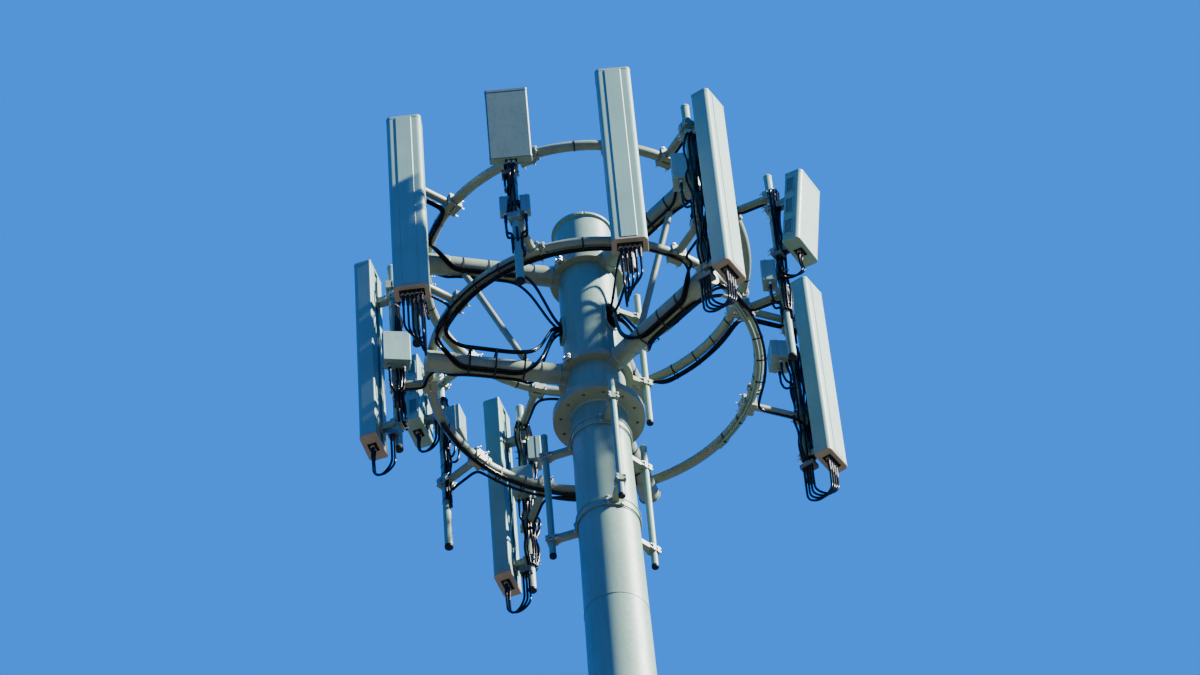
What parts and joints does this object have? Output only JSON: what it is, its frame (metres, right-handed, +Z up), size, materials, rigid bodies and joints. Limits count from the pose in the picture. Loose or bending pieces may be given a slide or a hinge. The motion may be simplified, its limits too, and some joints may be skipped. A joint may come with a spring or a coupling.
{
  "type": "cell tower",
  "caption": "Steel monopole cell tower: tapered round pole on a bolted base plate, with a two-ring headframe that carries panel antennas in three sectors.",
  "frame": {"origin": "centre of the base plate's underside", "axes": "+Z up along the pole; -Y towards the side that the front sector of antennas faces"},
  "size_m": [3.641, 3.6279, 29.87],
  "materials": {
    "painted_steel": "satin grey-green paint, weathered",
    "radome": "matte pale grey",
    "radio_housing": "satin grey paint",
    "cable_jacket": "glossy black jacket",
    "cable_block": "matte black",
    "zinc_fastener": "dull zinc"
  },
  "bodies": {
    "root": {"access_cover": "painted_steel", "access_rim": "painted_steel", "arm_braces": "painted_steel", "base_plate": "painted_steel", "base_stiffeners": "painted_steel", "flange_bolts": "zinc_fastener", "front_cable_blocks": "cable_block", "front_jumpers": "cable_jacket", "front_mount_pipes": "painted_steel", "front_panel_brackets": "painted_steel", "front_radios": "radio_housing", "front_stand_offs": "painted_steel", "headframe_flange": "painted_steel", "headframe_stub": "painted_steel", "left_cable_blocks": "cable_block", "left_jumpers": "cable_jacket", "left_mount_pipes": "painted_steel", "left_panel_brackets": "painted_steel", "left_radios": "radio_housing", "left_stand_offs": "painted_steel", "lower_arms": "painted_steel", "lower_collar": "painted_steel", "lower_ring": "painted_steel", "panel_antenna_1": "radome", "panel_antenna_2": "radome", "panel_antenna_3": "radome", "panel_antenna_4": "radome", "panel_antenna_5": "radome", "panel_antenna_6": "radome", "panel_antenna_7": "radome", "panel_antenna_8": "radome", "panel_antenna_9": "radome", "pole_head_flange": "painted_steel", "pole_head_section": "painted_steel", "pole_lower_section": "painted_steel", "pole_middle_section": "painted_steel", "pole_mount_bands": "painted_steel", "pole_mount_brackets": "painted_steel", "pole_mount_pipes": "painted_steel", "pole_upper_section": "painted_steel", "right_cable_blocks": "cable_block", "right_jumpers": "cable_jacket", "right_mount_pipes": "painted_steel", "right_panel_brackets": "painted_steel", "right_radios": "radio_housing", "right_stand_offs": "painted_steel", "ring_cables": "cable_jacket", "top_cap": "painted_steel", "upper_arms": "painted_steel", "upper_collar": "painted_steel", "upper_ring": "painted_steel"}
  },
  "joints": []
}
